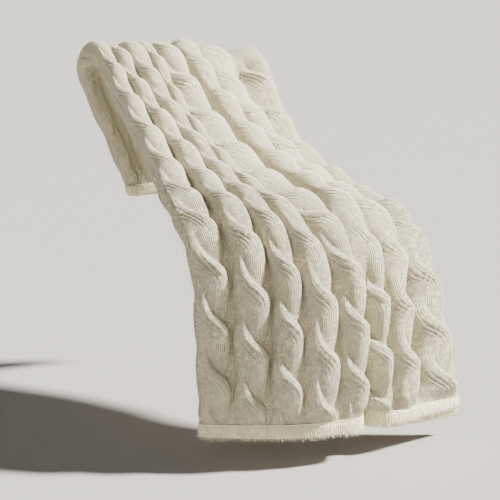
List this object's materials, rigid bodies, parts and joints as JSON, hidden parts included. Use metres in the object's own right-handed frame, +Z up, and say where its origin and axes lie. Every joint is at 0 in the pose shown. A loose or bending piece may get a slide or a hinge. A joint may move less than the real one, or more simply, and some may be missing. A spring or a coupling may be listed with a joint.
{
  "type": "folded throw blanket",
  "caption": "Cable-knit throw folded lengthwise and draped over a chair back and seat, with ribbed hem bands linked to a doubled panel.",
  "frame": {"origin": "underside of the seat run, in the middle of the flat where the throw lies on the seat", "axes": "+Z up, -Y the way the chair faces (the front hem hangs there), +X to the right seen from the front, which is the sitter's left; the folded edge is at -X and the open edge at +X"},
  "size_m": [0.5736, 0.8257, 0.6898],
  "materials": {
    "cable_knit": "ivory cable knit, brushed wool and mohair yarn",
    "rib_knit": "ivory rib knit, brushed yarn",
    "linking_yarn": "ivory twisted yarn"
  },
  "bodies": {
    "root": {"knit_panel": "cable_knit", "front_rib_hem": "rib_knit", "rear_rib_hem": "rib_knit", "front_linking_seam": "linking_yarn", "rear_linking_seam": "linking_yarn"}
  },
  "joints": []
}
